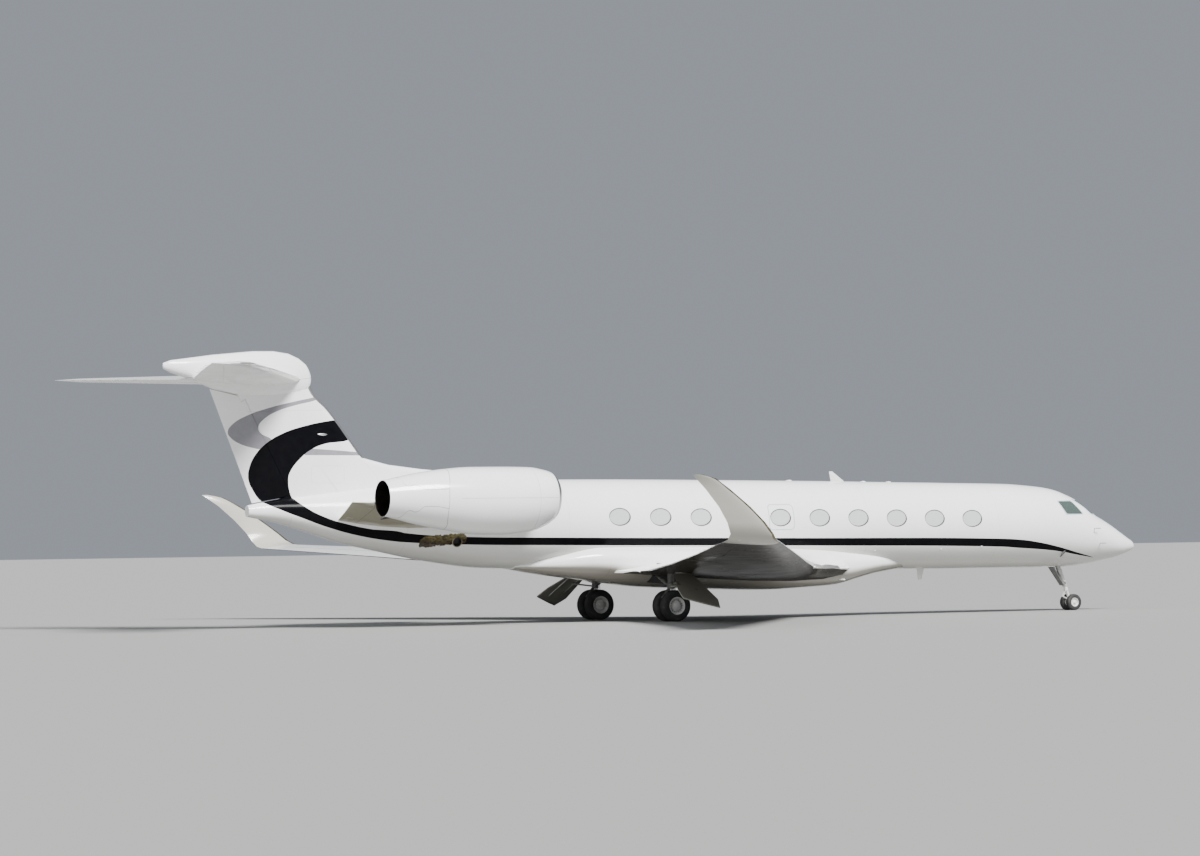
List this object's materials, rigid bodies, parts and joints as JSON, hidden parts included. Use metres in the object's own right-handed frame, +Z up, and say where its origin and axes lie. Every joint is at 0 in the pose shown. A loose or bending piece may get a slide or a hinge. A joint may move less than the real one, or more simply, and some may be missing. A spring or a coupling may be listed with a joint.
{
  "type": "business jet",
  "caption": "Long-range business jet with rear engines, T-tail and winglets, parked on its gear, with turning wheels, fans, rudder, elevators, ailerons and entry door.",
  "frame": {"origin": "on the ground below the middle of the length, on the centre plane", "axes": "+X forward to the nose, +Y to port, +Z up"},
  "size_m": [33.48, 31.3904, 7.75],
  "materials": {
    "white_paint": "glossy white paint with a black sweep stripe",
    "grey_paint": "satin beige-grey paint",
    "wing_paint": "satin grey paint with bare leading edges",
    "bare_metal": "polished metal",
    "dark_metal": "heat-darkened metal",
    "gear_paint": "glossy light grey paint",
    "rim_paint": "satin light grey paint",
    "glass": "tinted cockpit glass",
    "tyre": "matte black rubber",
    "trim_plastic": "matte dark grey",
    "leather": "grained leather"
  },
  "bodies": {
    "airframe": {"radome": "white_paint", "forward_fuselage": "white_paint", "cabin_fuselage": "white_paint", "aft_fuselage": "white_paint", "belly_fairing": "white_paint", "fin": "white_paint", "bullet_fairing": "white_paint", "nose_leg": "gear_paint", "nose_leg_door": "grey_paint", "instrument_panel": "trim_plastic", "windshield_left": "glass", "windshield_right": "glass", "side_window_left": "glass", "side_window_right": "glass", "wing_left": "wing_paint", "wing_right": "wing_paint", "winglet_left": "grey_paint", "winglet_right": "grey_paint", "flap_left": "wing_paint", "flap_right": "wing_paint", "stabilizer_left": "white_paint", "stabilizer_right": "white_paint", "nacelle_left": "white_paint", "nacelle_right": "white_paint", "pylon_left": "white_paint", "pylon_right": "white_paint", "engine_block_left": "dark_metal", "engine_block_right": "dark_metal", "main_leg_left": "gear_paint", "main_leg_right": "gear_paint", "main_leg_door_left": "grey_paint", "main_leg_door_right": "grey_paint", "pilot_seat_left": "leather", "pilot_seat_right": "leather"},
    "nose_steering_leg": {"nose_fork": "bare_metal"},
    "nose_wheels": {"nose_rim_left": "rim_paint", "nose_rim_right": "rim_paint", "nose_tyre_left": "tyre", "nose_tyre_right": "tyre"},
    "main_wheels_left": {"main_rim_inner_left": "rim_paint", "main_rim_outer_left": "rim_paint", "main_tyre_inner_left": "tyre", "main_tyre_outer_left": "tyre"},
    "main_wheels_right": {"main_rim_inner_right": "rim_paint", "main_rim_outer_right": "rim_paint", "main_tyre_inner_right": "tyre", "main_tyre_outer_right": "tyre"},
    "engine_fan_left": {"fan_left": "dark_metal"},
    "engine_fan_right": {"fan_right": "dark_metal"},
    "door": {"entry_door": "white_paint"},
    "rudder_panel": {"rudder": "white_paint"},
    "elevator_panel_left": {"elevator_left": "white_paint"},
    "elevator_panel_right": {"elevator_right": "white_paint"},
    "aileron_panel_left": {"aileron_left": "wing_paint"},
    "aileron_panel_right": {"aileron_right": "wing_paint"}
  },
  "joints": [
    {"name": "nose_steering", "type": "hinge", "parent": "airframe", "child": "nose_steering_leg", "pos_m": [14.34, 0, 0.25], "axis": [-0.379, 0, 0.9254], "range_deg": [-80, 80]},
    {"name": "nose_wheel_spin", "type": "hinge", "parent": "nose_steering_leg", "child": "nose_wheels", "pos_m": [14.34, 0, 0.25], "axis": [0, 1, 0], "continuous": true},
    {"name": "main_wheel_spin_left", "type": "hinge", "parent": "airframe", "child": "main_wheels_left", "pos_m": [-1.11, 2.29, 0.45], "axis": [0, 1, 0], "continuous": true},
    {"name": "main_wheel_spin_right", "type": "hinge", "parent": "airframe", "child": "main_wheels_right", "pos_m": [-1.11, -2.29, 0.45], "axis": [0, 1, 0], "continuous": true},
    {"name": "fan_spin_left", "type": "hinge", "parent": "airframe", "child": "engine_fan_left", "pos_m": [-5.71, 2.5, 3.56], "axis": [1, 0, 0], "continuous": true},
    {"name": "fan_spin_right", "type": "hinge", "parent": "airframe", "child": "engine_fan_right", "pos_m": [-5.71, -2.5, 3.56], "axis": [1, 0, 0], "continuous": true},
    {"name": "entry_door_hinge", "type": "hinge", "parent": "airframe", "child": "door", "pos_m": [12.115, 1.06115, 1.86], "axis": [-1, 0, 0], "range_deg": [0, 125]},
    {"name": "rudder_hinge", "type": "hinge", "parent": "airframe", "child": "rudder_panel", "pos_m": [-12.05, 0, 3.76], "axis": [-0.4526, 0, 0.8917], "range_deg": [-22, 22]},
    {"name": "elevator_hinge_left", "type": "hinge", "parent": "airframe", "child": "elevator_panel_left", "pos_m": [-14.139, 0.36, 6.965], "axis": [-0.3935, 0.9189, 0.0295], "range_deg": [-13, 24]},
    {"name": "elevator_hinge_right", "type": "hinge", "parent": "airframe", "child": "elevator_panel_right", "pos_m": [-14.139, -0.36, 6.965], "axis": [0.3935, 0.9189, -0.0295], "range_deg": [-13, 24]},
    {"name": "aileron_hinge_left", "type": "hinge", "parent": "airframe", "child": "aileron_panel_left", "pos_m": [-3.93997, 10.15, 1.98308], "axis": [-0.4335, 0.8993, 0.0581], "range_deg": [-15, 22]},
    {"name": "aileron_hinge_right", "type": "hinge", "parent": "airframe", "child": "aileron_panel_right", "pos_m": [-3.93997, -10.15, 1.98308], "axis": [0.4335, 0.8993, -0.0581], "range_deg": [-15, 22]}
  ]
}
